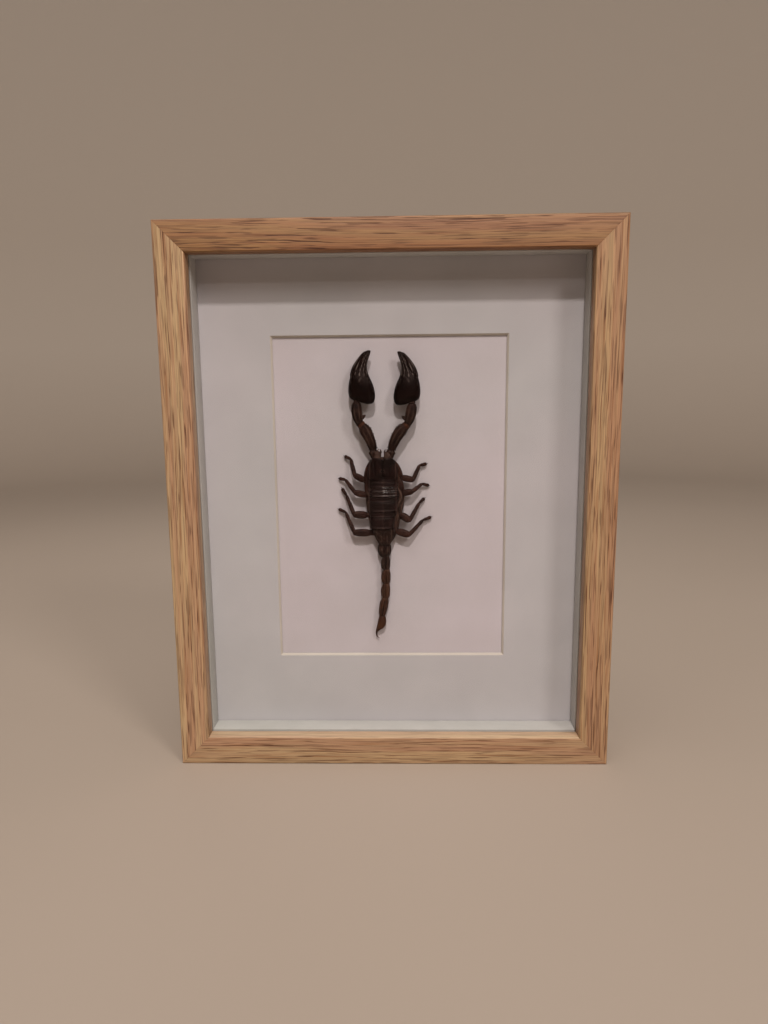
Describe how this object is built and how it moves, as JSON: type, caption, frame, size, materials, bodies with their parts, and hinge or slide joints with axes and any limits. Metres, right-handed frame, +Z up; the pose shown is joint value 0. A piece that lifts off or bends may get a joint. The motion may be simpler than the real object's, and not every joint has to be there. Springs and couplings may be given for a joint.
{
  "type": "framed scorpion specimen",
  "caption": "Standing oak box frame with glass and a white window mat, showing a dried black scorpion laid on a card.",
  "frame": {"origin": "middle of the frame's underside, on the surface it stands on", "axes": "+Z up, -Y out of the glass towards the viewer, +X to the viewer's right"},
  "size_m": [0.224, 0.0373, 0.275],
  "materials": {
    "oak": "light oak with fine brown grain, oiled",
    "picture_glass": "clear picture glass",
    "white_board": "white paper-lined strip",
    "mat_board": "fine-textured white mat with a cream core",
    "card": "pinkish white card",
    "chitin": "dried cuticle, near black with reddish brown legs and sting",
    "hardboard": "brown hardboard",
    "steel": "plated"
  },
  "bodies": {
    "root": {"rail_top": "oak", "rail_bottom": "oak", "rail_left": "oak", "rail_right": "oak", "glass": "picture_glass", "spacer_top": "white_board", "spacer_bottom": "white_board", "spacer_left": "white_board", "spacer_right": "white_board", "mat": "mat_board", "mount_card": "card", "scorpion": "chitin", "backing_board": "hardboard", "tab_top_1": "steel", "tab_top_2": "steel", "tab_bottom_1": "steel", "tab_bottom_2": "steel", "tab_left_1": "steel", "tab_left_2": "steel", "tab_right_1": "steel", "tab_right_2": "steel", "hanger": "steel", "hanger_nail_1": "steel", "hanger_nail_2": "steel"}
  },
  "joints": []
}
